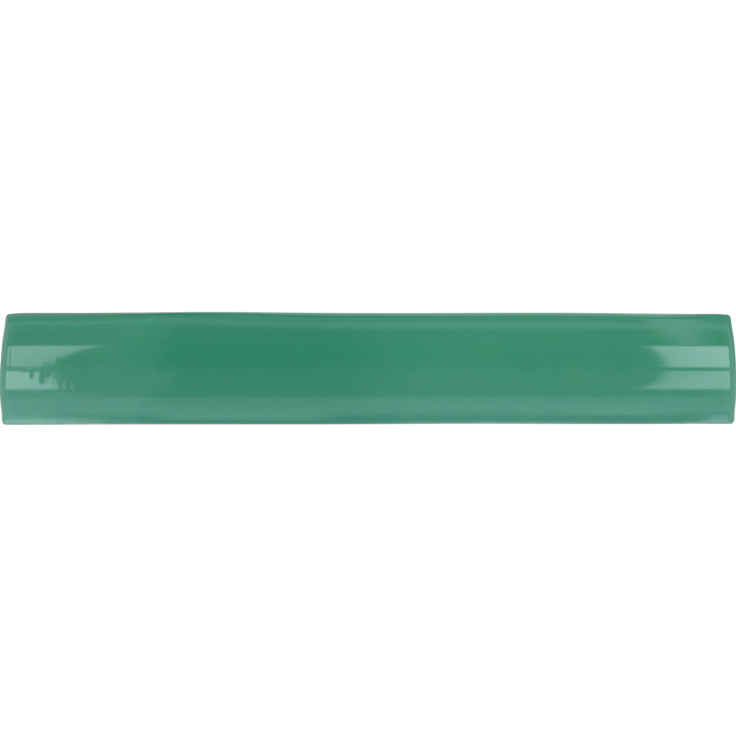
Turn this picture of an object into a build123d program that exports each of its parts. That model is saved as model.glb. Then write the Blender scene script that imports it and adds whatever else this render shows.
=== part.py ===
from build123d import *
import math
import os

# Pencil liner tile: one fired and glazed trim piece, lying on its flat keyed back.
# Millimetres. The origin is the centre of the back, at the level of the bed.
# +X runs along the tile, +Y across it towards the low side, +Z out of the glazed face.

# Overall form
tile_length = 200.0
tile_width = 30.8
tile_thickness = 12.5

# Domed section: the crown lies nearer the tall side than the middle of the tile
crown_offset = 3.2
tall_side_height = 8.2
low_side_height = 4.0
side_draft_deg = 1.0

# Edges
end_roll = 2.0
side_roll = 1.0
back_easing = 0.4

# Keying grooves, pressed lengthwise into the back
groove_count = 4
groove_mouth = 2.6
groove_floor = 1.6
groove_depth = 0.8
edge_land = 5.0

# How far off the back an edge has to rise to count as standing
on_back = 0.01


def side_set_in(height):
    """How far a drafted side has come in from the back's outline at a height."""
    return height * math.tan(math.radians(side_draft_deg))


def section():
    """The drafted sides and the two arcs that meet level at the crown, in the YZ plane."""
    half_width = tile_width / 2
    crown = (-crown_offset, tile_thickness)
    tall_foot = (-half_width, 0)
    tall_shoulder = (-half_width + side_set_in(tall_side_height), tall_side_height)
    low_foot = (half_width, 0)
    low_shoulder = (half_width - side_set_in(low_side_height), low_side_height)
    outline = [
        Line(low_foot, tall_foot),
        Line(tall_foot, tall_shoulder),
        TangentArc(crown, tall_shoulder, tangent=(-1, 0)),
        TangentArc(crown, low_shoulder, tangent=(1, 0)),
        Line(low_shoulder, low_foot),
    ]
    return Plane.YZ * make_face(outline)


def side_outline(side):
    """A side's edges in one smooth run: up one corner, along the shoulder and down the other."""
    return [edge for edge in side.edges() if edge.bounding_box().max.Z > on_back]


def blank():
    """The domed body with its rolled ends, its rolled sides and corners and its eased back."""
    body = extrude(section(), amount=tile_length / 2, both=True)
    dome_ends = body.edges().filter_by(GeomType.CIRCLE)
    body = fillet(dome_ends, end_roll)
    across = body.faces().sort_by(Axis.Y)
    body = fillet(side_outline(across[0]) + side_outline(across[-1]), side_roll)
    back = body.faces().sort_by(Axis.Z)[0]
    return chamfer(back.edges(), back_easing)


def keying_grooves():
    """Flat-bottomed grooves that run out through both ends."""
    keyed_width = tile_width - 2 * edge_land
    pitch = (keyed_width - groove_mouth) / (groove_count - 1)
    groove_section = Polyline(
        (-groove_mouth / 2, 0),
        (-groove_floor / 2, groove_depth),
        (groove_floor / 2, groove_depth),
        (groove_mouth / 2, 0),
        close=True,
    )
    across = Plane.YZ * GridLocations(pitch, 0, groove_count, 1)
    return [extrude(place * make_face(groove_section), amount=tile_length, both=True) for place in across]


def pencil_liner_tile():
    """The whole fired piece."""
    tile = blank() - keying_grooves()
    return tile.solid()


os.makedirs("parts", exist_ok=True)
export_step(pencil_liner_tile(), "parts/pencil_liner_tile.step")
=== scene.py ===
"""Glazed pencil liner tile, seen from straight above on a plain pale floor."""

import logging
import math
from collections.abc import Callable, Iterator
from contextlib import contextmanager
from dataclasses import dataclass, field
from enum import Enum

import bmesh
import bpy
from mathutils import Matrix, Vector, noise


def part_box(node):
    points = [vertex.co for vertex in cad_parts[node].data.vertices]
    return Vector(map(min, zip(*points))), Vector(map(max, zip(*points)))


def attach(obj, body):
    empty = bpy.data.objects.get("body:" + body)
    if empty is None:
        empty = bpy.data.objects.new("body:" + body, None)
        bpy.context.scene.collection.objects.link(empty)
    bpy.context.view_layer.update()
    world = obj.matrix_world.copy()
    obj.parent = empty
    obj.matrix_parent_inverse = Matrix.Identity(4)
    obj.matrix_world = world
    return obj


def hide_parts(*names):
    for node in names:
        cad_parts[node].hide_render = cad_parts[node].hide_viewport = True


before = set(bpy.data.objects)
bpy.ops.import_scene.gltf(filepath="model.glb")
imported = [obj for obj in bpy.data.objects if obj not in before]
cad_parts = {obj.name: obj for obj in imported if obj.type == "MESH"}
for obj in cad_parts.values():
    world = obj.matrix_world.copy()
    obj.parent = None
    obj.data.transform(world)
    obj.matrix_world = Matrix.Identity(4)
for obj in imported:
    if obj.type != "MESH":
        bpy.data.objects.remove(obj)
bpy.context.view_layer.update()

LOG = logging.getLogger("pencil_liner")

NODE = "pencil_liner_tile"
BODY = "root"

MM = 0.001
MICRON = 0.000001

# Numbers that differ by less than this count as the same
NEAR = 1.0 * MICRON

GLAZE_LINE_ATTRIBUTE = "above_glaze_line"
# Thin or pooled glaze at every point; the low shoulder's pooling also carries painted shade
COAT_AND_SHADE_ATTRIBUTE = "coat_and_painted_shade"
GLOW_ATTRIBUTE = "glow"

Colour = tuple[float, float, float, float]
Light = tuple[float, float, float]
Span = tuple[float, float]
Columns = tuple[float, float, int]


class Part(Enum):
    """The kinds of part that are picked on a mesh, by the select mode that each one needs."""

    EDGE = (False, True, False)
    FACE = (False, False, True)


class Side(Enum):
    """The two long sides of the liner, by the sign of Y on which they lie."""

    TALL = -1
    LOW = 1


class End(Enum):
    """The two ends of the liner, by the sign of X on which they lie."""

    LEFT = -1
    RIGHT = 1


def deselect_everything() -> None:
    """Leave no object selected and none active."""
    for each in bpy.context.selected_objects:
        each.select_set(False)
    bpy.context.view_layer.objects.active = None


def make_active(piece: bpy.types.Object) -> None:
    """Select one piece alone and make it the active one.

    Args:
        piece: the object that the next operators are meant for.
    """
    deselect_everything()
    piece.select_set(True)
    bpy.context.view_layer.objects.active = piece


@contextmanager
def shaping(piece: bpy.types.Object) -> Iterator[None]:
    """Open a piece in edit mode and close it again afterwards.

    Args:
        piece: the mesh object to be shaped.

    Returns:
        An iterator that stops once, while the piece is open.
    """
    make_active(piece)
    bpy.ops.object.mode_set(mode="EDIT")
    yield
    bpy.ops.object.mode_set(mode="OBJECT")


def pick(piece: bpy.types.Object, kind: Part, wanted: Callable[..., bool]) -> int:
    """Select the edges or the faces whose corners pass a test, and nothing else.

    Args:
        piece: the mesh object open in edit mode.
        kind: whether edges or faces are meant.
        wanted: takes the places of a part's corners and says whether the part is selected.

    Returns:
        How many parts are selected.
    """
    bpy.context.tool_settings.mesh_select_mode = kind.value
    mesh = bmesh.from_edit_mesh(piece.data)
    for part in (*mesh.verts, *mesh.edges, *mesh.faces):
        part.select = False
    parts = mesh.edges if kind is Part.EDGE else mesh.faces
    chosen = [part for part in parts if wanted(*(corner.co for corner in part.verts))]
    for part in chosen:
        part.select_set(True)
    bmesh.update_edit_mesh(piece.data)
    return len(chosen)


def slope_of(normal: Vector) -> float:
    """How far a surface has turned from level, in degrees."""
    return math.degrees(math.acos(max(-1.0, min(1.0, normal.z))))


def smooth_step(low: float, high: float, value: float) -> float:
    """Ease from 0 at low to 1 at high."""
    share = min(1.0, max(0.0, (value - low) / (high - low)))
    return share * share * (3.0 - 2.0 * share)


def mound(middle: float, reach: float, value: float) -> float:
    """Height of a bell curve, 1 at its middle."""
    return math.exp(-0.5 * ((value - middle) / reach) ** 2)


@dataclass(frozen=True)
class Flank:
    """One half of the domed section: an arc from the crown, a rolled shoulder and a side."""

    side: Side
    height: float
    half_width: float
    thickness: float
    crown_y: float
    draft: float
    roll: float

    @property
    def shoulder_run(self) -> float:
        """How far the sharp shoulder lies from the crown, across the tile."""
        shoulder = self.half_width - self.height * math.tan(self.draft)
        return abs(self.side.value * shoulder - self.crown_y)

    @property
    def radius(self) -> float:
        """Radius of the arc that leaves the crown level and meets the sharp shoulder."""
        drop = self.thickness - self.height
        return (self.shoulder_run**2 + drop**2) / (2.0 * drop)

    @property
    def centre(self) -> Vector:
        """Centre of the dome's arc, in the section."""
        return Vector((0.0, self.crown_y, self.thickness - self.radius))

    @property
    def side_normal(self) -> Vector:
        """Outward normal of the drafted side."""
        return Vector((0.0, self.side.value * math.cos(self.draft), math.sin(self.draft)))

    @property
    def dome_turn(self) -> float:
        """Work out where the shoulder roll takes over from the dome.

        Returns:
            The angle through which the dome turns up to there.
        """
        foot = Vector((0.0, self.side.value * self.half_width, 0.0))
        reach = self.side_normal.dot(foot - self.centre)
        return math.asin((reach - self.roll) / (self.radius - self.roll)) - self.draft

    @property
    def roll_turn(self) -> float:
        """Angle through which the rolled shoulder turns into the side."""
        return math.pi / 2.0 - self.draft - self.dome_turn

    @property
    def roll_centre(self) -> Vector:
        """Centre of the rolled shoulder's arc."""
        away = Vector((0.0, self.side.value * math.sin(self.dome_turn), math.cos(self.dome_turn)))
        return self.centre + (self.radius - self.roll) * away

    @property
    def side_top(self) -> Vector:
        """Where the rolled shoulder ends and the side begins."""
        return self.roll_centre + self.roll * self.side_normal

    def side_y(self, height: float) -> float:
        """Y of the drafted side at a height above the bed."""
        return self.side.value * (self.half_width - height * math.tan(self.draft))


@dataclass(frozen=True)
class GlazeLine:
    """Where the glaze stops on the walls, a little above the back."""

    height: float = 1.7 * MM
    sway: float = 0.45 * MM
    sway_pitch: float = 14.0 * MM
    dribble: float = 0.5 * MM
    dribble_pitch: float = 2.6 * MM
    dribble_slice: float = 0.05
    coat: float = 0.12 * MM
    edge_softness: float = 0.08 * MM
    bead: float = 0.05 * MM
    bead_middle: float = 0.125 * MM
    bead_reach: float = 0.175 * MM

    def at(self, place: Vector) -> float:
        """Height of the glaze's lower edge.

        Args:
            place: a point on a wall.

        Returns:
            The height above the bed at which the glaze stops there.
        """
        slow = noise.noise(Vector((place.x, place.y, 0.0)) / self.sway_pitch)
        quick = noise.noise(Vector((place.x, place.y, self.dribble_slice)) / self.dribble_pitch)
        return self.height + self.sway * slow - self.dribble * max(0.0, quick)

    def relief(self, above: float) -> float:
        """How far the wall stands out from the glazed face, at a height above the line.

        Args:
            above: height above the glaze's lower edge, in metres.

        Returns:
            Nothing well up the wall, a small bead at the edge and minus the coat below it.
        """
        edge = smooth_step(-self.edge_softness, self.edge_softness, above)
        swollen = self.bead * mound(self.bead_middle, self.bead_reach, above)
        return edge * swollen - (1.0 - edge) * self.coat


@dataclass(frozen=True)
class Swell:
    """A stretch of a long side that stands a little proud or shy of a straight line."""

    side: Side
    middle: float
    reach: float
    amount: float


@dataclass(frozen=True)
class Fullness:
    """A stretch of a rolled shoulder that stands out from its even roll."""

    side: Side
    middle: float
    reach: float
    amount: float
    steepest: float = 58.0
    spread: float = 14.0

    def at(self, x: float, steepness: float) -> float:
        """How far it stands out at a place along the tile and a slope in degrees."""
        return self.amount * mound(self.middle, self.reach, x) * mound(self.steepest, self.spread, steepness)


@dataclass(frozen=True)
class GlazeRun:
    """A low ridge where glaze ran across the dome and set.

    Its left side reaches as many times farther than its right side as its lead says.
    """

    x: float
    reach: float
    height: float
    low_y: float
    high_y: float
    fade: float
    lead: float = 1.0
    dies_out: float = 4.0

    def lift(self, place: Vector) -> float:
        """Work out the ridge's height at a point.

        Args:
            place: a point on the dome.

        Returns:
            How far the ridge lifts the glaze there, and nothing past a few reaches from it.
        """
        reach = self.reach if place.x > self.x else self.reach * self.lead
        if abs(place.x - self.x) > self.dies_out * reach:
            return 0.0
        along = smooth_step(self.low_y - self.fade, self.low_y, place.y)
        along *= 1.0 - smooth_step(self.high_y, self.high_y + self.fade, place.y)
        return self.height * along * mound(self.x, reach, place.x)


@dataclass(frozen=True)
class HandShaping:
    """The slight unevenness of a pressed, dipped and fired piece."""

    swells: tuple[Swell, ...] = (
        Swell(Side.LOW, -43.0 * MM, 15.0 * MM, 0.28 * MM),
        Swell(Side.LOW, 91.0 * MM, 15.5 * MM, -0.29 * MM),
        Swell(Side.LOW, -100.0 * MM, 1.8 * MM, -0.30 * MM),
        Swell(Side.LOW, 100.0 * MM, 1.8 * MM, -0.25 * MM),
        Swell(Side.LOW, 12.0 * MM, 18.0 * MM, -0.05 * MM),
        Swell(Side.LOW, 45.0 * MM, 22.0 * MM, 0.07 * MM),
        Swell(Side.TALL, -96.0 * MM, 13.0 * MM, 0.20 * MM),
        Swell(Side.TALL, -40.0 * MM, 60.0 * MM, 0.08 * MM),
        Swell(Side.TALL, 24.0 * MM, 17.0 * MM, -0.11 * MM),
        Swell(Side.TALL, 85.0 * MM, 22.0 * MM, -0.06 * MM),
    )
    runs: tuple[GlazeRun, ...] = (
        GlazeRun(-91.80 * MM, 0.80 * MM, 26.0 * MICRON, -2.6 * MM, -0.9 * MM, 0.7 * MM, 1.6),
        GlazeRun(-89.30 * MM, 1.05 * MM, 17.0 * MICRON, -4.0 * MM, -0.9 * MM, 0.8 * MM, 2.9),
        GlazeRun(-87.95 * MM, 0.95 * MM, 9.0 * MICRON, -1.8 * MM, -0.9 * MM, 0.6 * MM, 2.0),
        GlazeRun(-86.90 * MM, 0.45 * MM, 3.2 * MICRON, -2.1 * MM, -0.9 * MM, 0.6 * MM),
        GlazeRun(-85.20 * MM, 0.25 * MM, 1.9 * MICRON, -4.9 * MM, -2.4 * MM, 0.5 * MM),
        GlazeRun(-84.40 * MM, 0.25 * MM, 1.5 * MICRON, -4.6 * MM, -2.8 * MM, 0.5 * MM),
        GlazeRun(-83.60 * MM, 0.40 * MM, 2.0 * MICRON, -5.2 * MM, -3.2 * MM, 0.6 * MM),
        GlazeRun(-81.60 * MM, 0.40 * MM, 2.0 * MICRON, -6.4 * MM, -3.6 * MM, 0.6 * MM),
        GlazeRun(-79.30 * MM, 0.50 * MM, 5.0 * MICRON, -6.4 * MM, -3.4 * MM, 0.6 * MM),
        GlazeRun(-84.60 * MM, 0.60 * MM, 2.4 * MICRON, 1.4 * MM, 3.2 * MM, 0.7 * MM),
        GlazeRun(-88.10 * MM, 0.50 * MM, 3.0 * MICRON, 0.6 * MM, 1.4 * MM, 0.5 * MM),
        GlazeRun(-97.00 * MM, 0.09 * MM, 7.0 * MICRON, -0.2 * MM, 5.6 * MM, 0.5 * MM),
    )
    fuller: tuple[Fullness, ...] = (
        Fullness(Side.LOW, -44.0 * MM, 15.0 * MM, 0.10 * MM),
        Fullness(Side.LOW, -52.0 * MM, 12.0 * MM, 0.22 * MM, 50.0, 6.0),
        Fullness(Side.TALL, -18.0 * MM, 20.0 * MM, 0.09 * MM),
        Fullness(Side.TALL, 10.0 * MM, 80.0 * MM, 0.02 * MM),
    )
    end_set_in: dict[End, Span] = field(
        default_factory=lambda: {End.LEFT: (0.22 * MM, 0.12 * MM), End.RIGHT: (0.10 * MM, 0.0)}
    )
    set_in_at_low: Span = (-5.0 * MM, 4.0 * MM)
    set_in_at_tall: Span = (-6.0 * MM, -15.0 * MM)
    ripple: float = 2.2 * MICRON
    ripple_pitch: Span = (7.0 * MM, 26.0 * MM)
    ripple_slice: float = 7.7
    sag: float = 14.0 * MICRON
    sag_pitch: float = 38.0 * MM
    sag_start: tuple[float, float, float] = (3.1, 0.4, 0.0)

    def side_shift(self, side: Side, x: float) -> float:
        """How far a long side stands proud of a straight line at a place along the tile."""
        on_side = (swell for swell in self.swells if swell.side is side)
        return sum(swell.amount * mound(swell.middle, swell.reach, x) for swell in on_side)

    def arris_fullness(self, side: Side, x: float, steepness: float) -> float:
        """How far a shoulder stands out from its even roll.

        Args:
            side: which long side is meant.
            x: place along the tile.
            steepness: how far the surface has turned from level there, in degrees.

        Returns:
            The distance along the surface's normal.
        """
        return sum(stretch.at(x, steepness) for stretch in self.fuller if stretch.side is side)

    def end_shift(self, end: End, y: float) -> float:
        """How far an end falls short of square at a place across the tile."""
        at_low, at_tall = self.end_set_in[end]
        return at_low * smooth_step(*self.set_in_at_low, y) + at_tall * smooth_step(*self.set_in_at_tall, y)

    def surface_lift(self, place: Vector) -> float:
        """Add up the glaze's own relief.

        Args:
            place: a point on the dome.

        Returns:
            How far the runs, the sag and the ripple lift the glaze there.
        """
        along, across = self.ripple_pitch
        slow = noise.noise(place / self.sag_pitch + Vector(self.sag_start))
        quick = noise.noise(Vector((place.x / along, place.y / across, self.ripple_slice)))
        return sum(run.lift(place) for run in self.runs) + self.sag * slow + self.ripple * quick


@dataclass(frozen=True)
class CoatStep:
    """A place along the tile from which a shoulder's coat is thinner or, below 0, thicker."""

    start: float
    stop: float
    amount: float

    def at(self, x: float) -> float:
        """How much of the change has come at a place along the tile."""
        return self.amount * smooth_step(self.start, self.stop, x)


@dataclass(frozen=True)
class CoatPatch:
    """A stretch along the tile in which a shoulder's coat is thinner or, below 0, thicker."""

    middle: float
    reach: float
    amount: float

    def at(self, x: float) -> float:
        """How much the stretch changes the coat at a place along the tile."""
        return self.amount * mound(self.middle, self.reach, x)


@dataclass(frozen=True)
class Coat:
    """How thin or how pooled the glaze is on the shoulders and at the ends.

    Slopes are in degrees from level. Levels are above 0 where the coat is thin and below 0 where
    it pooled. Where the low shoulder pools, its darker colour is also painted shade for the dark
    floor that the glaze reflects there.
    """

    # The low shoulder's deep pooling darkens it as painted shade for the dark floor that its glaze reflects
    level: dict[Side, float] = field(default_factory=lambda: {Side.TALL: -0.15, Side.LOW: -1.30})
    changes: dict[Side, tuple[CoatStep | CoatPatch, ...]] = field(
        default_factory=lambda: {
            Side.TALL: (
                CoatStep(-68.0 * MM, -78.0 * MM, 1.30),
                CoatPatch(32.0 * MM, 17.0 * MM, 1.00),
                CoatPatch(71.0 * MM, 7.0 * MM, -0.95),
                CoatStep(78.0 * MM, 90.0 * MM, 0.75),
            ),
            Side.LOW: (
                CoatStep(-68.0 * MM, -60.0 * MM, 0.45),
                CoatStep(-62.0 * MM, -28.0 * MM, 0.95),
                CoatStep(66.0 * MM, 76.0 * MM, 0.25),
                CoatPatch(92.5 * MM, 5.0 * MM, -0.95),
            ),
        }
    )
    tall_slope: float = 70.0
    tall_spread: float = 14.0
    low_slopes: Span = (44.0, 54.0)
    low_fading: Span = (66.0, 86.0)
    low_faded: float = 0.75
    steady_share: float = 0.85
    broken_share: float = 0.5
    broken_pitch: float = 5.0 * MM
    end_thinness: float = 0.09
    end_reach: Span = (4.5 * MM, 1.0 * MM)

    def worn_at(self, side: Side, x: float) -> float:
        """How far a shoulder's coat has thinned at a place along the tile."""
        return sum((change.at(x) for change in self.changes[side]), self.level[side])

    def shown_at(self, side: Side, slope: float) -> float:
        """Work out how much of a shoulder's wear a slope shows.

        Args:
            side: which long side is meant.
            slope: how far the surface has turned from level, in degrees.

        Returns:
            0 on the dome, up to 1 on the shoulder.
        """
        if side is Side.TALL:
            return mound(self.tall_slope, self.tall_spread, slope)
        faded = self.low_faded * smooth_step(*self.low_fading, slope)
        return smooth_step(*self.low_slopes, slope) * (1.0 - faded)

    def broken_at(self, place: Vector) -> float:
        """What share of the wear is left at a point, where the coat's unevenness breaks it up."""
        return self.steady_share + self.broken_share * noise.noise(place / self.broken_pitch)


@dataclass
class PencilLiner:
    """The one fired piece: domed glazed face, rolled arrises, drafted sides and keyed back."""

    length: float
    width: float
    thickness: float

    # Section
    crown_offset: float = 3.2 * MM
    tall_height: float = 8.2 * MM
    low_height: float = 4.0 * MM
    draft: float = math.radians(1.0)
    shoulder_roll: float = 2.3 * MM

    # End roll, with its shares of the full roll at the corners and along the back
    end_roll: float = 2.0 * MM
    roll_clearance: float = 0.2 * MM
    corner_share: float = 0.5
    corner_rise: float = 3.0 * MM
    back_share: float = 0.2
    back_rise_easings: float = 4.0

    # Keying grooves
    groove_count: int = 4
    groove_mouth: float = 2.6 * MM
    groove_floor: float = 1.6 * MM
    groove_depth: float = 0.8 * MM
    edge_land: float = 5.0 * MM

    # Fineness of the mesh
    dome_steps: dict[Side, int] = field(default_factory=lambda: {Side.TALL: 24, Side.LOW: 34})
    roll_steps: int = 8
    first_cuts: int = 99
    second_cuts: int = 4
    longest_step: float = 1.0 * MM
    side_row: float = 0.25 * MM
    fine_side_height: float = 3.0 * MM
    coarse_side_row: float = 0.8 * MM
    cap_column: float = 0.5 * MM
    cap_top_row: float = 2.0 * MM
    hairline_columns: Columns = (-97.30 * MM, -96.70 * MM, 16)
    run_columns: Columns = (-92.6 * MM, -78.4 * MM, 96)
    crease: float = math.radians(50.0)

    # Where a wall counts as upright, and how many millimetres the glaze line's mark runs
    wall_from_easings: float = 0.6
    least_upright: float = 0.5
    line_mark_reach: float = 2.0

    shaping_marks: HandShaping = HandShaping()
    glaze_line: GlazeLine = GlazeLine()
    coat: Coat = Coat()

    @property
    def crown_y(self) -> float:
        """Y of the crown, which lies towards the tall side."""
        return -self.crown_offset

    @property
    def level_to(self) -> float:
        """X up to which the dome runs on level, just short of the end roll."""
        return self.length / 2.0 - self.end_roll - self.roll_clearance

    @property
    def back_easing(self) -> float:
        """Size of the small bevel round the back."""
        return self.back_share * self.end_roll

    def side_at(self, y: float) -> Side:
        """On which side of the crown a place across the tile lies."""
        return Side.TALL if y < self.crown_y else Side.LOW

    def flank(self, side: Side) -> Flank:
        """Work out one half of the section.

        Args:
            side: which long side the half belongs to.

        Returns:
            The half's arcs and side, from the tile's own sizes.
        """
        height = self.tall_height if side is Side.TALL else self.low_height
        return Flank(
            side, height, self.width / 2.0, self.thickness, self.crown_y, self.draft, self.shoulder_roll
        )

    def side_levels(self, side: Side) -> list[float]:
        """Heights of the rows on a side, from its top down to the eased back.

        Args:
            side: which long side is meant.

        Returns:
            The heights in metres, highest first, without the top row itself.
        """
        top = self.flank(side).side_top.z
        levels = [self.back_easing]
        while levels[-1] + self.side_row < top - self.side_row:
            fine = levels[-1] < self.fine_side_height
            levels.append(levels[-1] + (self.side_row if fine else self.coarse_side_row))
            if levels[-1] > top - self.side_row:
                levels.pop()
                break
        return levels[::-1]

    def back_outline(self) -> list[Vector]:
        """Draw the flat back with its keying grooves.

        Returns:
            Its corners in the section, from the tall side to the low side.
        """
        half_back = self.width / 2.0 - self.back_easing
        keyed = self.width - 2.0 * self.edge_land
        pitch = (keyed - self.groove_mouth) / (self.groove_count - 1)
        corners = [Vector((0.0, -half_back, 0.0))]
        for index in range(self.groove_count):
            middle = (index - (self.groove_count - 1) / 2.0) * pitch
            corners += [
                Vector((0.0, middle - self.groove_mouth / 2.0, 0.0)),
                Vector((0.0, middle - self.groove_floor / 2.0, self.groove_depth)),
                Vector((0.0, middle + self.groove_floor / 2.0, self.groove_depth)),
                Vector((0.0, middle + self.groove_mouth / 2.0, 0.0)),
            ]
        corners.append(Vector((0.0, half_back, 0.0)))
        return corners

    def build(self) -> bpy.types.Object:
        """Model the tile from its crown line round to the back and close its ends.

        Returns:
            The finished mesh object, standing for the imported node.
        """
        tile = self._crown_line()
        with shaping(tile):
            self._sweep_half(tile, Side.LOW)
            self._sweep_half(tile, Side.TALL)
            self._draw_side_and_back(tile)
            self._close_ends(tile)
            self._roll_ends(tile)
            self._grid_caps(tile)
            self._cut_columns(tile, (-self.level_to, self.level_to, 1))
            self._cut_columns(tile, self.hairline_columns)
            self._divide_along(tile, self.first_cuts, self.length / 2.0)
            self._cut_columns(tile, self.run_columns)
            self._divide_along(tile, self.second_cuts, self.longest_step)
        self._mark_and_settle(tile)
        LOG.info("%s: %d faces", tile.name, len(tile.data.polygons))
        return tile

    def _crown_line(self) -> bpy.types.Object:
        """Start from a plane and keep only the edge that runs along the crown.

        Returns:
            The new object, holding that one edge.
        """
        deselect_everything()
        bpy.ops.mesh.primitive_plane_add(size=self.length)
        tile = bpy.context.active_object
        tile.name = "glazed_liner"
        tile.data.name = tile.name
        with shaping(tile):
            pick(tile, Part.EDGE, lambda a, b: a.y > 0 and b.y > 0)
            bpy.ops.mesh.delete(type="VERT")
            bpy.ops.mesh.select_all(action="SELECT")
            bpy.ops.transform.translate(value=(0.0, self.crown_y + self.length / 2.0, self.thickness))
        return tile

    def _pick_row(self, tile: bpy.types.Object, y: float, z: float) -> None:
        """Select the lengthwise edge that lies at a place in the section.

        Args:
            tile: the mesh object open in edit mode.
            y: the place across the tile.
            z: its height above the bed.
        """

        def at_place(point: Vector) -> bool:
            """Whether a point lies at that place."""
            return math.hypot(point.y - y, point.z - z) < NEAR

        count = pick(tile, Part.EDGE, lambda a, b: at_place(a) and at_place(b))
        if count != 1:
            raise RuntimeError(f"{count} rows at y {y:.6f}, z {z:.6f}")

    def _pick_cap(self, tile: bpy.types.Object, end: End) -> None:
        """Select the flat face or faces that close an end."""
        at_end = end.value * self.length / 2.0
        pick(tile, Part.FACE, lambda *corners: all(abs(corner.x - at_end) < NEAR for corner in corners))

    def _sweep_half(self, tile: bpy.types.Object, side: Side) -> None:
        """Spin the crown line down one half of the dome and round its shoulder.

        Args:
            tile: the mesh object open in edit mode.
            side: which long side the half belongs to.
        """
        half = self.flank(side)
        turn = side.value
        self._pick_row(tile, self.crown_y, self.thickness)
        bpy.ops.mesh.spin(
            steps=self.dome_steps[side], angle=turn * half.dome_turn, center=half.centre, axis=(1, 0, 0)
        )
        bpy.ops.mesh.spin(
            steps=self.roll_steps, angle=turn * half.roll_turn, center=half.roll_centre, axis=(1, 0, 0)
        )

    def _draw_side_and_back(self, tile: bpy.types.Object) -> None:
        """Extrude the tall side down, the keyed back across and the low side up.

        Args:
            tile: the mesh object open in edit mode.
        """
        tall, low = self.flank(Side.TALL), self.flank(Side.LOW)
        path = [Vector((0.0, tall.side_y(z), z)) for z in self.side_levels(Side.TALL)]
        path += self.back_outline()
        path += [Vector((0.0, low.side_y(z), z)) for z in self.side_levels(Side.LOW)[::-1]]
        path.append(low.side_top)
        here = tall.side_top
        self._pick_row(tile, here.y, here.z)
        for there in path:
            bpy.ops.mesh.extrude_region_move(TRANSFORM_OT_translate={"value": there - here})
            here = there
        bpy.ops.mesh.select_all(action="SELECT")
        bpy.ops.mesh.remove_doubles(threshold=NEAR)

    def _close_ends(self, tile: bpy.types.Object) -> None:
        """Put one flat face in each open end and turn every face outwards.

        Args:
            tile: the mesh object open in edit mode.
        """
        for end in End:
            at_end = end.value * self.length / 2.0
            pick(tile, Part.EDGE, lambda *ends: all(abs(point.x - at_end) < NEAR for point in ends))
            bpy.ops.mesh.edge_face_add()
        bpy.ops.mesh.select_all(action="SELECT")
        bpy.ops.mesh.normals_make_consistent(inside=False)

    def _end_radius(self, y: float, z: float) -> float:
        """Radius of the end roll at a place on the end's outline.

        Args:
            y: the place across the tile.
            z: its height above the bed.

        Returns:
            The full roll along the dome, less round the upright corners and least along the back.
        """
        in_groove = z <= self.groove_depth and abs(y) < self.width / 2.0 - self.edge_land
        if z < NEAR or in_groove:
            return self.end_roll * self.back_share
        inward = abs(self.flank(self.side_at(y)).side_y(z)) - abs(y)
        rise = smooth_step(0.0, self.corner_rise, inward)
        share = self.corner_share + (1.0 - self.corner_share) * rise
        off_back = smooth_step(0.0, self.back_rise_easings * self.back_easing, z)
        return self.end_roll * (self.back_share + (share - self.back_share) * off_back)

    def _end_outline(self, cap: bmesh.types.BMFace, end: End) -> list[tuple[Vector, Vector, float]]:
        """Read the outline of an end face.

        Args:
            cap: the flat face that closes the end.
            end: which end it is.

        Returns:
            For each corner in turn its place in the section, the way that it is drawn in and the
            radius of the roll there.
        """
        places = [Vector((corner.vert.co.y, corner.vert.co.z)) for corner in cap.loops]
        outline = []
        for before, here, after in zip(places[-1:] + places[:-1], places, places[1:] + places[:1]):
            arriving, leaving = (here - before).normalized(), (after - here).normalized()
            inward = end.value * Vector((-arriving.y - leaving.y, arriving.x + leaving.x))
            outline.append((here, inward / (1.0 + arriving.dot(leaving)), self._end_radius(*here)))
        return outline

    def _roll_ends(self, tile: bpy.types.Object) -> None:
        """Roll both ends over, by extruding each end face in small steps while it draws in.

        Args:
            tile: the mesh object open in edit mode.
        """
        for end in End:
            at_end = end.value * self.length / 2.0
            self._pick_cap(tile, end)
            outline, spots = [], []
            for step in range(self.roll_steps + 1):
                if step:
                    bpy.ops.mesh.extrude_region_move(TRANSFORM_OT_translate={"value": (0.0, 0.0, 0.0)})
                cap = next(face for face in bmesh.from_edit_mesh(tile.data).faces if face.select)
                if not step:
                    outline = self._end_outline(cap, end)
                    spots = [corner.vert.co.copy() for corner in cap.loops]
                start = cap.loops[0].vert.co
                ahead = min(range(len(spots)), key=lambda number: (spots[number] - start).length)
                turn = math.radians(90.0) * step / self.roll_steps
                for index, corner in enumerate(cap.loops):
                    number = (ahead + index) % len(outline)
                    place, inward, radius = outline[number]
                    drawn = place + inward * radius * (1.0 - math.cos(turn))
                    set_in = radius * (1.0 - math.sin(turn))
                    corner.vert.co = (at_end - end.value * set_in, drawn.x, drawn.y)
                    spots[number] = corner.vert.co.copy()
                bmesh.update_edit_mesh(tile.data)

    def _grid_caps(self, tile: bpy.types.Object) -> None:
        """Cut both flat end faces into a grid, fine near the bed.

        Args:
            tile: the mesh object open in edit mode.
        """
        levels = self.side_levels(Side.TALL) + [self.thickness - self.cap_top_row]
        count = int(self.width / self.cap_column)
        columns = [(index - count / 2.0) * self.cap_column for index in range(1, count)]
        cuts = [((0.0, 0.0, z), (0.0, 0.0, 1.0)) for z in levels]
        cuts += [((0.0, y, 0.0), (0.0, 1.0, 0.0)) for y in columns]
        for end in End:
            for place, normal in cuts:
                self._pick_cap(tile, end)
                bpy.ops.mesh.bisect(plane_co=place, plane_no=normal)

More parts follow.
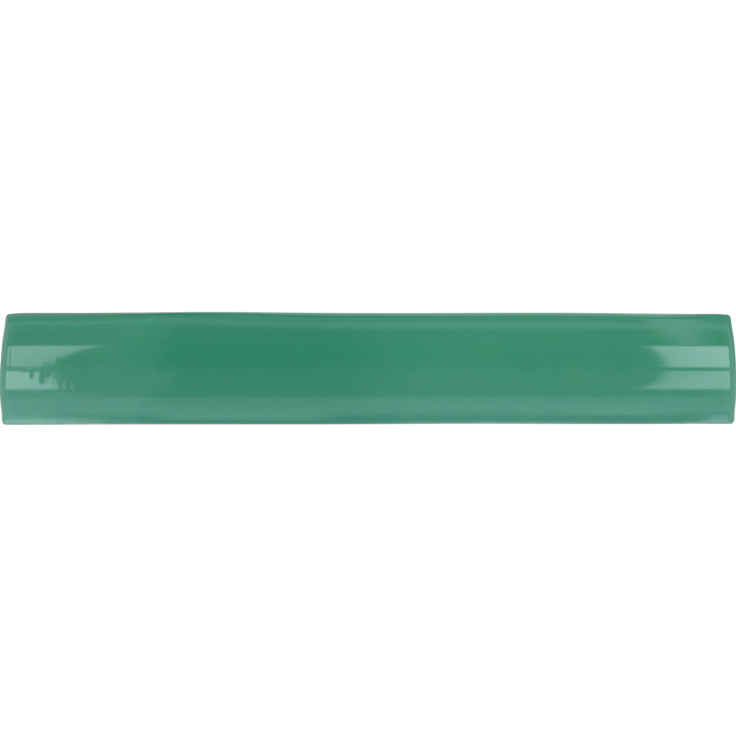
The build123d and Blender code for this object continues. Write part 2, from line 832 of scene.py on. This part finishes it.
    def _cut_columns(self, tile: bpy.types.Object, columns: Columns) -> None:
        """Cut narrow rows across the tile where fine relief needs them.

        Args:
            tile: the mesh object open in edit mode.
            columns: X of the first cut, X of the last and the number of steps between them.
        """
        first, last, count = columns
        for index in range(count + 1):
            bpy.ops.mesh.select_all(action="SELECT")
            place = first + (last - first) * index / count
            bpy.ops.mesh.bisect(plane_co=(place, 0.0, 0.0), plane_no=(1.0, 0.0, 0.0), threshold=NEAR)

    def _divide_along(self, tile: bpy.types.Object, cuts: int, over: float) -> None:
        """Divide every lengthwise edge that is longer than a given length.

        Args:
            tile: the mesh object open in edit mode.
            cuts: how many cuts each such edge gets.
            over: the length beyond which an edge is divided.
        """
        pick(tile, Part.EDGE, lambda a, b: abs(a.x - b.x) > over)
        bpy.ops.mesh.subdivide(number_cuts=cuts)

    def _settle(self, place: Vector, normal: Vector) -> Vector:
        """Move one point as pressing, dipping and firing would have.

        Args:
            place: the point on the true shape.
            normal: the surface's outward normal there.

        Returns:
            The point on the finished piece.
        """
        marks = self.shaping_marks
        side = self.side_at(place.y)
        end = End.LEFT if place.x < 0.0 else End.RIGHT
        run = abs(side.value * self.width / 2.0 - self.crown_y)
        away = abs(place.y - self.crown_y) / run
        moved = place.copy()
        moved.y += side.value * marks.side_shift(side, place.x) * away
        moved.x *= 1.0 - marks.end_shift(end, place.y) / (self.length / 2.0)
        if normal.z > 0.0:
            moved.z += marks.surface_lift(place) * normal.z * normal.z
            across = Vector((0.0, normal.y, normal.z))
            moved += across * marks.arris_fullness(side, place.x, slope_of(normal))
        outward = Vector((normal.x, normal.y, 0.0))
        if place.z > self.wall_from_easings * self.back_easing and outward.length > self.least_upright:
            above = place.z - self.glaze_line.at(place)
            moved += outward.normalized() * self.glaze_line.relief(above)
        return moved

    def _thinness_and_shade(self, place: Vector, normal: Vector) -> float:
        """How thin the glaze has run at a point, or how deep it has pooled, which on the low shoulder is
        also painted shade.

        Args:
            place: the point on the true shape.
            normal: the surface's outward normal there.

        Returns:
            0 where the coat is even, up to 1 where the body shines through and down to -1 where
            the glaze pooled, which on the low shoulder also paints the shade of the reflected dark floor.
        """
        side = self.side_at(place.y)
        sideways = abs(normal.y) / max(NEAR, math.hypot(normal.x, normal.y))
        shown = self.coat.shown_at(side, slope_of(normal)) * sideways
        worn = shown * self.coat.worn_at(side, place.x) * self.coat.broken_at(place)
        from_end = self.length / 2.0 - abs(place.x)
        at_end = self.coat.end_thinness * smooth_step(*self.coat.end_reach, from_end)
        return min(1.0, max(-1.0, worn + at_end))

    def _mark_and_settle(self, tile: bpy.types.Object) -> None:
        """Write the glaze's two marks on every point, then move the points into their fired places.

        Args:
            tile: the mesh object, out of edit mode.
        """
        mesh = tile.data
        above_line = mesh.attributes.new(GLAZE_LINE_ATTRIBUTE, "FLOAT", "POINT")
        thin = mesh.attributes.new(COAT_AND_SHADE_ATTRIBUTE, "FLOAT", "POINT")
        settled = []
        for vertex in mesh.vertices:
            place, normal = vertex.co.copy(), vertex.normal.copy()
            above = (place.z - self.glaze_line.at(place)) / MM
            reach = self.line_mark_reach
            above_line.data[vertex.index].value = max(-reach, min(reach, above))
            thin.data[vertex.index].value = self._thinness_and_shade(place, normal)
            settled.append(self._settle(place, normal))
        for vertex, place in zip(mesh.vertices, settled):
            vertex.co = place
        mesh.update()


@dataclass(frozen=True)
class NodeBoard:
    """A thin hand on a material's node tree, so that each finish reads as a list of steps."""

    tree: bpy.types.NodeTree

    def add(
        self, kind: str, inputs: dict[str | int, object] | None = None, **settings: object
    ) -> bpy.types.Node:
        """Add a node, set its plain settings and fill or link its inputs.

        Args:
            kind: the node's type name.
            inputs: input name or number to a value, or to an output socket to link from.
            settings: attributes set on the node itself.

        Returns:
            The new node.
        """
        node = self.tree.nodes.new(kind)
        for name, value in settings.items():
            setattr(node, name, value)
        for key, value in (inputs or {}).items():
            if isinstance(value, bpy.types.NodeSocket):
                self.tree.links.new(value, node.inputs[key])
            else:
                node.inputs[key].default_value = value
        return node

    def attribute(self, name: str) -> bpy.types.NodeSocket:
        """Read a number that the mesh keeps on its points."""
        return self.add("ShaderNodeAttribute", attribute_name=name).outputs["Fac"]

    def pattern(
        self, coords: object, scale: float, detail: float, roughness: float
    ) -> bpy.types.NodeSocket:
        """Add a cloudy pattern.

        Args:
            coords: the socket of the place that the pattern is read at.
            scale: how fine the pattern is.
            detail: how many finer patterns lie over it.
            roughness: how strong those are.

        Returns:
            The socket of the pattern's level, which sways about a half.
        """
        inputs = {"Vector": coords, "Scale": scale, "Detail": detail, "Roughness": roughness}
        return self.add("ShaderNodeTexNoise", inputs).outputs["Fac"]

    def combine(self, first: object, second: object, kind: str = "ADD") -> bpy.types.NodeSocket:
        """Join two numbers by a sum or another operation.

        Args:
            first: a number or a socket.
            second: a number or a socket.
            kind: the operation's name.

        Returns:
            The result's socket.
        """
        return self.add("ShaderNodeMath", {0: first, 1: second}, operation=kind).outputs[0]

    def ease(
        self, value: object, low: float, high: float, start: float = 0.0, stop: float = 1.0
    ) -> bpy.types.NodeSocket:
        """Ease from start at low to stop at high.

        Args:
            value: the socket that is read.
            low: where the easing begins.
            high: where it ends.
            start: the result below low.
            stop: the result above high.

        Returns:
            The eased value's socket.
        """
        node = self.add(
            "ShaderNodeMapRange",
            {"Value": value, "From Min": low, "From Max": high, "To Min": start, "To Max": stop},
            interpolation_type="SMOOTHSTEP",
        )
        return node.outputs["Result"]

    def blend(self, share: object, first: object, second: object) -> bpy.types.NodeSocket:
        """Mix two colours.

        Args:
            share: how much of the second colour is taken.
            first: colour or socket taken at 0.
            second: colour or socket taken at 1.

        Returns:
            The mixed colour's socket.
        """
        node = self.tree.nodes.new("ShaderNodeMix")
        node.data_type = "RGBA"
        for socket, value in ((node.inputs[0], share), (node.inputs[6], first), (node.inputs[7], second)):
            if isinstance(value, bpy.types.NodeSocket):
                self.tree.links.new(value, socket)
            else:
                socket.default_value = value
        return node.outputs[2]

    def finish(
        self,
        share: bpy.types.NodeSocket,
        first: bpy.types.NodeSocket,
        second: bpy.types.NodeSocket,
        output: str = "ShaderNodeOutputMaterial",
    ) -> None:
        """Mix two shaders and lead the mix to the output.

        Args:
            share: how much of the second shader is taken.
            first: the shader taken at 0.
            second: the shader taken at 1.
            output: the output node's type name.
        """
        mixed = self.add("ShaderNodeMixShader", {0: share, 1: first, 2: second})
        self.add(output, {"Surface": mixed.outputs["Shader"]})


def new_material(name: str) -> tuple[bpy.types.Material, NodeBoard]:
    """Make an empty node material.

    Args:
        name: the finish's name.

    Returns:
        The material and a board for its nodes.
    """
    material = bpy.data.materials.new(name)
    material.use_nodes = True
    material.node_tree.nodes.clear()
    return material, NodeBoard(material.node_tree)


@dataclass(frozen=True)
class Mottle:
    """Soft patches in a finish, by their fineness and by how much of their colour shows."""

    scale: float
    detail: float
    roughness: float
    shows: Span
    share: float

    def level(self, board: NodeBoard, coords: bpy.types.NodeSocket) -> bpy.types.NodeSocket:
        """Work out how much of the patches' colour shows at each point.

        Args:
            board: the board that the nodes go on.
            coords: the socket of the place that the patches are read at.

        Returns:
            The socket of a level from 0 to the patches' share.
        """
        pattern = board.pattern(coords, self.scale, self.detail, self.roughness)
        return board.ease(pattern, *self.shows, 0.0, self.share)


@dataclass(frozen=True)
class GlazeFinish:
    """Glossy green glaze over a pale fired body, which is bare on the back.

    Spans along the tile are in metres, those round the glaze line in millimetres above it.
    """

    pooled: Colour = (0.0160, 0.2150, 0.1240, 1.0)
    even: Colour = (0.0340, 0.2580, 0.1590, 1.0)
    lean: Colour = (0.0410, 0.2460, 0.1580, 1.0)
    arris: Colour = (0.2900, 0.4450, 0.3880, 1.0)
    olive: Colour = (0.0370, 0.2560, 0.1330, 1.0)
    fleck: Colour = (0.0290, 0.2100, 0.1050, 1.0)
    # Dark pooled glaze, which on the low shoulder is also painted shade
    pool_and_shade: Colour = (0.0100, 0.1350, 0.0780, 1.0)
    body: Colour = (0.6600, 0.5900, 0.4900, 1.0)
    body_shade: Colour = (0.5600, 0.4800, 0.3800, 1.0)
    roughness: float = 0.05
    body_roughness: float = 0.92
    ior: float = 1.6

    # Patches
    stretch: tuple[float, float, float] = (1.0, 1.9, 1.0)
    clouds: Mottle = Mottle(46.0, 3.0, 0.5, (0.30, 0.72), 0.34)
    flecks: Mottle = Mottle(330.0, 3.0, 0.6, (0.38, 0.66), 0.22)
    olive_patches: Mottle = Mottle(150.0, 4.0, 0.65, (0.44, 0.66), 0.60)
    body_patches: Mottle = Mottle(55.0, 3.0, 0.5, (0.35, 0.70), 0.70)

    # The pool left of the middle and the lean stretch beside it
    wander: tuple[float, float, float] = (75.0, 4.0, 0.55)
    wander_width: float = 0.032
    pool_slant: float = 0.12
    pool_rise: Span = (-0.0625, -0.0505)
    pool_fall: Span = (-0.0150, 0.0230)
    lean_rise: Span = (-0.0500, -0.0740)

    # Worn arrises, the glaze's lower edge, the low shoulder's painted shade and the bare body
    arris_share: float = 0.75
    edge_pooling: Span = (0.70, 0.05)
    edge_pool_share: float = 0.55
    bare_below: Span = (0.06, -0.06)
    grain: tuple[float, float, float] = (900.0, 5.0, 0.7)
    grain_shows: Span = (0.45, 0.7)
    grain_share: float = 0.3
    grain_strength: float = 0.55
    grain_height: float = 0.25 * MM

    def _glaze_colour(self, board: NodeBoard, coords: bpy.types.NodeSocket) -> bpy.types.NodeSocket:
        """Colour the coat, deeper where it pooled left of the middle and leaner at the left end.

        Args:
            board: the board that the nodes go on.
            coords: the socket of the place on the tile.

        Returns:
            The colour's socket.
        """
        place = board.add("ShaderNodeSeparateXYZ", {"Vector": coords}).outputs
        mapping = board.add("ShaderNodeMapping", {"Vector": coords, "Scale": self.stretch})
        stretched = mapping.outputs["Vector"]
        sway = board.combine(board.pattern(stretched, *self.wander), 0.5, "SUBTRACT")
        moved = board.combine(place["X"], board.combine(sway, self.wander_width, "MULTIPLY"))
        slant = board.combine(place["Y"], self.pool_slant, "MULTIPLY")
        pool_left = board.ease(board.combine(moved, slant, "SUBTRACT"), *self.pool_rise)
        pool_right = board.ease(moved, *self.pool_fall, 1.0, 0.0)
        colour = board.blend(board.ease(moved, *self.lean_rise), self.even, self.lean)
        colour = board.blend(self.clouds.level(board, stretched), colour, self.pooled)
        colour = board.blend(self.olive_patches.level(board, coords), colour, self.olive)
        colour = board.blend(board.combine(pool_left, pool_right, "MULTIPLY"), colour, self.pooled)
        return board.blend(self.flecks.level(board, stretched), colour, self.fleck)

    def _body_colour(
        self, board: NodeBoard, coords: bpy.types.NodeSocket, grain: bpy.types.NodeSocket
    ) -> bpy.types.NodeSocket:
        """Colour the bare fired body, with its patches and its grain.

        Args:
            board: the board that the nodes go on.
            coords: the socket of the place on the tile.
            grain: the socket of the body's grain.

        Returns:
            The colour's socket.
        """
        grained = board.ease(grain, *self.grain_shows, 0.0, self.grain_share)
        shade = board.combine(self.body_patches.level(board, coords), grained)
        return board.blend(shade, self.body, self.body_shade)

    def material(self) -> bpy.types.Material:
        """Build the finish.

        Returns:
            The material for the whole fired piece.
        """
        material, board = new_material("green_glaze_over_pale_body")
        coords = board.add("ShaderNodeTexCoord").outputs["Object"]
        above = board.attribute(GLAZE_LINE_ATTRIBUTE)
        thin = board.attribute(COAT_AND_SHADE_ATTRIBUTE)
        worn = board.combine(thin, self.arris_share, "MULTIPLY")
        glaze = board.blend(worn, self._glaze_colour(board, coords), self.arris)
        # Pooled arrises darken; on the low shoulder this is painted shade for the dark floor reflected there
        arris_pool_and_shade = board.combine(thin, -1.0, "MULTIPLY")
        pooled_edge = board.ease(above, *self.edge_pooling, 0.0, self.edge_pool_share)
        glaze = board.blend(board.combine(arris_pool_and_shade, pooled_edge, "MAXIMUM"), glaze, self.pool_and_shade)
        grain = board.pattern(coords, *self.grain)
        body = self._body_colour(board, coords, grain)
        bare = board.ease(above, *self.bare_below)
        strength = board.combine(bare, self.grain_strength, "MULTIPLY")
        bump = board.add(
            "ShaderNodeBump", {"Height": grain, "Strength": strength, "Distance": self.grain_height}
        )
        shader = board.add(
            "ShaderNodeBsdfPrincipled",
            {
                "Base Color": board.blend(bare, glaze, body),
                "Roughness": board.ease(bare, 0.0, 1.0, self.roughness, self.body_roughness),
                "IOR": self.ior,
                "Normal": bump.outputs["Normal"],
            },
        )
        board.add("ShaderNodeOutputMaterial", {"Surface": shader.outputs["BSDF"]})
        return material


@dataclass(frozen=True)
class LightCard:
    """A curved light panel on a drum round the tile's long axis.

    Angles are in degrees from straight up, positive towards the tall side. The panel reaches along
    X from its inner edge, which may slant and bow, to its outer edge. It grows from its inner level
    to its full strength over its rise, and its edges fade out over the fades.
    """

    name: str
    strength: float
    start: float
    stop: float
    inner_start: float
    inner_stop: float
    outer: float
    bow: float = 0.0
    fade: float = 0.0
    outer_fade: float = 0.0
    turn_fades: Span = (0.0, 0.0)
    inner_level: float = 1.0
    rise: float = 0.045
    colour: Light = (0.89, 1.03, 1.10)
    drum: float = 0.9
    steps: int = 40
    columns: int = 40

    def inner_at(self, share: float) -> float:
        """X of the inner edge, at a share of the way from the start angle to the stop angle."""
        straight = self.inner_start + (self.inner_stop - self.inner_start) * share
        return straight + self.bow * 4.0 * share * (1.0 - share)

    def glow_at(self, reach: float, inner: float, angle: float) -> float:
        """How brightly a point of the panel glows, from 0 to 1.

        Args:
            reach: its X.
            inner: X of the inner edge at its angle.
            angle: its angle in degrees.

        Returns:
            1 in the full part of the panel, less towards a soft edge.
        """
        from_inner = abs(reach - inner)
        glow = self.inner_level + (1.0 - self.inner_level) * min(1.0, from_inner / self.rise)
        edges = (
            (self.fade, from_inner),
            (self.outer_fade, abs(reach - self.outer)),
            (self.turn_fades[0], angle - self.start),
            (self.turn_fades[1], self.stop - angle),
        )
        for fade, inside in edges:
            if fade > 0.0:
                glow *= smooth_step(0.0, fade, inside)
        return glow

    def build(self) -> bpy.types.Object:
        """Model the panel and give it its glow.

        Returns:
            The panel.
        """
        deselect_everything()
        bpy.ops.mesh.primitive_grid_add(x_subdivisions=self.columns, y_subdivisions=self.steps, size=1.0)
        card = bpy.context.active_object
        card.name = self.name
        glow = card.data.attributes.new(GLOW_ATTRIBUTE, "FLOAT", "POINT")
        for vertex in card.data.vertices:
            share = vertex.co.y + 0.5
            angle = self.start + (self.stop - self.start) * share
            inner = self.inner_at(share)
            reach = inner + (self.outer - inner) * (vertex.co.x + 0.5)
            turn = math.radians(angle)
            vertex.co = (reach, -self.drum * math.sin(turn), self.drum * math.cos(turn))
            glow.data[vertex.index].value = self.glow_at(reach, inner, angle)
        card.data.materials.append(self._glow_material())
        card.visible_camera = False
        return card

    def _glow_material(self) -> bpy.types.Material:
        """Make a light that gives way to what lies behind it where the panel fades.

        Returns:
            The panel's material.
        """
        material, board = new_material(self.name + "_glow")
        light = board.add("ShaderNodeEmission", {"Color": (*self.colour, 1.0), "Strength": self.strength})
        clear = board.add("ShaderNodeBsdfTransparent")
        board.finish(board.attribute(GLOW_ATTRIBUTE), clear.outputs["BSDF"], light.outputs["Emission"])
        return material


@dataclass(frozen=True)
class Room:
    """Soft light from all round, in bands that run along the tile.

    Each band is an angle in degrees from straight up, positive towards the tall side, and the
    colour of the light that comes from there.
    """

    bands: tuple[tuple[float, Light], ...] = (
        (-92.0, (0.33, 0.31, 0.32)),
        (-85.5, (0.34, 0.33, 0.34)),
        (-80.5, (0.78, 1.02, 0.97)),
        (-77.5, (0.80, 1.05, 1.02)),
        (-72.5, (0.68, 0.80, 0.80)),
        (-69.5, (0.36, 0.34, 0.37)),
        (-50.0, (0.29, 0.33, 0.30)),
        (-24.0, (0.25, 0.22, 0.23)),
        (-8.0, (0.45, 0.38, 0.43)),
        (20.0, (0.48, 0.32, 0.44)),
        (27.5, (0.59, 0.43, 0.58)),
        (30.0, (0.95, 0.98, 1.12)),
        (48.0, (1.15, 1.15, 1.36)),
        (54.0, (1.12, 1.12, 1.31)),
        (64.0, (0.63, 0.46, 0.68)),
        (68.0, (0.52, 0.26, 0.56)),
        (80.0, (0.84, 0.46, 0.84)),
    )
    side_light: Light = (1.08, 1.08, 1.08)
    side_reach: Span = (0.30, 0.44)
    side_delay: float = 0.12
    delayed_turns: Span = (math.radians(-46.0), math.radians(-58.0))
    top_level: float = 2.0

    def build(self) -> None:
        """Set up the world: light bands for the object, plain white for the camera."""
        world = bpy.data.worlds.new("room")
        world.use_nodes = True
        world.node_tree.nodes.clear()
        board = NodeBoard(world.node_tree)
        direction = board.add("ShaderNodeTexCoord").outputs["Generated"]
        parts = board.add("ShaderNodeSeparateXYZ", {"Vector": direction}).outputs
        angle = board.combine(board.combine(parts["Y"], -1.0, "MULTIPLY"), parts["Z"], "ARCTAN2")
        turned = board.add(
            "ShaderNodeMapRange", {"Value": angle, "From Min": -math.pi, "From Max": math.pi}
        ).outputs["Result"]
        ramp = board.add("ShaderNodeValToRGB", {"Fac": turned})
        while len(ramp.color_ramp.elements) < len(self.bands):
            ramp.color_ramp.elements.new(1.0)
        for stop, (degrees, colour) in zip(ramp.color_ramp.elements, self.bands):
            stop.position = (degrees + 180.0) / 360.0
            stop.color = (*(part / self.top_level for part in colour), 1.0)
        delay = board.ease(angle, *self.delayed_turns, 0.0, self.side_delay)
        endways = board.combine(board.combine(parts["X"], 0.0, "ABSOLUTE"), delay, "SUBTRACT")
        side_light = (*(part / self.top_level for part in self.side_light), 1.0)
        light = board.blend(board.ease(endways, *self.side_reach), ramp.outputs["Color"], side_light)
        camera_ray = board.add("ShaderNodeLightPath").outputs["Is Camera Ray"]
        bands = board.add("ShaderNodeBackground", {"Color": light, "Strength": self.top_level})
        white = board.add("ShaderNodeBackground", {"Strength": 1.0})
        board.finish(
            camera_ray, bands.outputs["Background"], white.outputs["Background"], "ShaderNodeOutputWorld"
        )
        bpy.context.scene.world = world


@dataclass(frozen=True)
class Studio:
    """Floor, light and camera for the liner.

    In the glaze's reflections alone the white floor is painted darker, as where a sheet of paper
    ends: softly past its edge on both long sides, and past its end in the corner beyond the low side.
    """

    # Camera
    lens_height: float = 462.5 * MM
    seen_width: float = 199.67 * MM
    seen_level: float = 10.5 * MM
    aim_y: float = 0.12 * MM
    sensor: float = 36.0
    nearest_seen: float = 0.01

    # Floor
    floor_size: float = 6.0
    floor_tone: Colour = (0.86, 0.86, 0.86, 1.0)
    dark: Colour = (0.0, 0.0, 0.0, 1.0)
    floor_white: float = 1.15
    floor_white_share: float = 0.8
    # Painted shade in reflections: where the floor seen in the glaze grows dark
    dim_reflection_edge: Span = (0.05, 0.10)
    dim_reflection_end: Span = (0.088, 0.104)
    dim_reflection_corner: Span = (0.0, 0.01)
    far_dimming: float = 0.70

    # Lamp and light cards
    fill_level: float = 0.18
    fill_size: float = 0.8
    fill_distance: float = 1.2
    fill_lean: float = math.radians(60.0)
    cards: tuple[LightCard, ...] = (
        LightCard(
            "left_upper_panel", 2.95, -47.2, -15.6, -0.2085, -0.2545, -0.325,
            bow=-0.0075, fade=0.009, turn_fades=(3.5, 3.5), inner_level=0.80,
        ),
        LightCard(
            "left_lower_panel", 3.90, -13.3, 18.1, -0.2545, -0.2435, -0.325,
            fade=0.003, turn_fades=(3.5, 6.0), inner_level=0.80,
        ),
        LightCard(
            "right_upper_panel", 4.15, -48.0, -15.2, 0.2245, 0.2363, 0.325,
            bow=0.005, fade=0.005, turn_fades=(3.5, 3.5), inner_level=0.70,
        ),
        LightCard(
            "right_lower_panel", 3.20, -13.5, 18.2, 0.2348, 0.2080, 0.325,
            bow=0.006, fade=0.010, turn_fades=(3.5, 6.0), inner_level=0.65,
        ),
        LightCard(
            "left_low_glow", 3.05, 56.0, 98.0, -0.2330, -0.2370, -0.75,
            bow=0.0500, fade=0.070, turn_fades=(15.0, 4.0),
        ),
        LightCard(
            "left_front_glow", 1.45, 29.0, 64.0, -0.2350, -0.2350, -0.45,
            fade=0.030, turn_fades=(3.0, 3.0),
        ),
        LightCard(
            "middle_front_glow", 1.45, 44.0, 74.0, -0.0100, -0.0100, -0.190,
            fade=0.045, outer_fade=0.040, turn_fades=(10.0, 10.0),
        ),
        LightCard(
            "right_front_glow", 1.40, 40.0, 64.0, 0.1450, 0.1450, 0.240,
            fade=0.030, outer_fade=0.020, turn_fades=(8.0, 8.0),
        ),
        LightCard(
            "right_low_glow", 5.00, 58.0, 98.0, 0.2680, 0.2480, 0.2975,
            fade=0.040, outer_fade=0.020, turn_fades=(6.0, 4.0),
        ),
        LightCard(
            "right_corner_glow", 1.35, 58.0, 98.0, 0.3120, 0.3120, 0.40,
            fade=0.012, outer_fade=0.030, turn_fades=(6.0, 4.0), drum=0.95,
        ),
        LightCard(
            "right_far_glow", 1.27, -93.5, -46.0, 0.2210, 0.2410, 0.280,
            fade=0.022, outer_fade=0.022, turn_fades=(5.0, 3.0),
        ),
        LightCard(
            "left_side_shade", 1.0, -82.0, -69.0, -0.1650, -0.1650, -0.36,
            fade=0.030, turn_fades=(7.0, 1.5), colour=(0.36, 0.56, 0.58),
        ),
        LightCard(
            "low_side_glow", 1.0, -99.0, -82.0, -0.1450, -0.1450, 0.0750,
            fade=0.060, outer_fade=0.070, turn_fades=(5.0, 4.0), colour=(0.57, 0.93, 0.86),
        ),
        LightCard(
            "left_back_glow", 0.95, -19.0, 19.5, -0.2500, -0.2500, -0.36,
            fade=0.030, turn_fades=(1.0, 0.0), drum=0.95,
        ),
        LightCard(
            "left_seam_glow", 0.95, 19.5, 33.0, -0.2150, -0.2150, -0.36,
            fade=0.030, turn_fades=(0.0, 4.0), drum=0.95,
        ),
        LightCard(
            "right_back_glow", 0.95, -19.0, 33.0, 0.2720, 0.2720, 0.36,
            fade=0.035, turn_fades=(1.0, 4.0), drum=0.95,
        ),
    )

    def build(self) -> None:
        """Set up everything round the object."""
        self._camera()
        Room().build()
        self._floor()
        self._fill()
        for card in self.cards:
            card.build()

    def _camera(self) -> None:
        """Look straight down with the tile's length across the frame."""
        data = bpy.data.cameras.new("overhead")
        data.sensor_width = self.sensor
        data.lens = self.sensor * (self.lens_height - self.seen_level) / self.seen_width
        data.clip_start = self.nearest_seen
        camera = bpy.data.objects.new("overhead", data)
        camera.location = (0.0, self.aim_y, self.lens_height)
        bpy.context.scene.collection.objects.link(camera)
        bpy.context.scene.camera = camera
        bpy.context.scene.view_settings.view_transform = "Standard"

    def _fill(self) -> None:
        """A soft lamp on the low side, which shows in no reflection."""
        data = bpy.data.lights.new("fill", "AREA")
        data.size = self.fill_size
        data.energy = self.fill_level * (math.pi * self.fill_distance) ** 2
        lamp = bpy.data.objects.new("fill", data)
        toward = Vector((0.0, math.sin(self.fill_lean), math.cos(self.fill_lean)))
        lamp.location = self.fill_distance * toward
        lamp.rotation_euler = (-self.fill_lean, 0.0, 0.0)
        lamp.visible_glossy = False
        bpy.context.scene.collection.objects.link(lamp)

    def _floor(self) -> None:
        """A plain white floor under the tile, which keeps a faint shadow."""
        deselect_everything()
        bpy.ops.mesh.primitive_plane_add(size=self.floor_size)
        floor = bpy.context.active_object
        floor.name = "floor"
        floor.data.materials.append(self._floor_material())

    def _floor_material(self) -> bpy.types.Material:
        """Make the floor white to the camera, and painted darker in the glaze's reflections, where it ends
        like a sheet of paper.

        Returns:
            The floor's material.
        """
        material, board = new_material("white_floor")
        path = board.add("ShaderNodeLightPath").outputs
        seen = board.combine(path["Is Camera Ray"], path["Is Glossy Ray"], "MAXIMUM")
        seen = board.combine(seen, path["Is Transmission Ray"], "MAXIMUM")
        share = board.combine(seen, self.floor_white_share, "MULTIPLY")
        coords = board.add("ShaderNodeTexCoord").outputs["Object"]
        place = board.add("ShaderNodeSeparateXYZ", {"Vector": coords}).outputs
        past_edge = board.ease(board.combine(place["Y"], 0.0, "ABSOLUTE"), *self.dim_reflection_edge)
        past_end = board.ease(place["X"], *self.dim_reflection_end)
        in_corner = board.combine(past_end, board.ease(place["Y"], *self.dim_reflection_corner), "MULTIPLY")
        dimmed_in_reflection = board.combine(past_edge, in_corner, "MAXIMUM")
        # Painted shade: only glossy rays see the floor dim past these places
        dim = board.combine(dimmed_in_reflection, path["Is Glossy Ray"], "MULTIPLY")
        level = board.combine(1.0, board.combine(dim, self.far_dimming, "MULTIPLY"), "SUBTRACT")
        matt = board.add("ShaderNodeBsdfDiffuse", {"Color": board.blend(level, self.dark, self.floor_tone)})
        strength = board.combine(level, self.floor_white, "MULTIPLY")
        white = board.add("ShaderNodeEmission", {"Strength": strength})
        board.finish(share, matt.outputs["BSDF"], white.outputs["Emission"])
        return material


def main() -> None:
    """Build the liner, its finish and the studio round it."""
    logging.basicConfig(level=logging.INFO, format="%(name)s: %(message)s")
    low, high = (Vector(corner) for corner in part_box(NODE))
    liner = PencilLiner(high.x - low.x, high.y - low.y, high.z - low.z)
    # The bevel round the back takes away the widest line of the drafted sides
    liner.width += 2.0 * liner.back_easing * math.tan(liner.draft)
    tile = liner.build()
    tile.data.materials.append(GlazeFinish().material())
    make_active(tile)
    bpy.ops.object.shade_smooth_by_angle(angle=liner.crease)
    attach(tile, BODY)
    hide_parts(NODE)
    Studio().build()


if __name__ == "__main__":
    main()
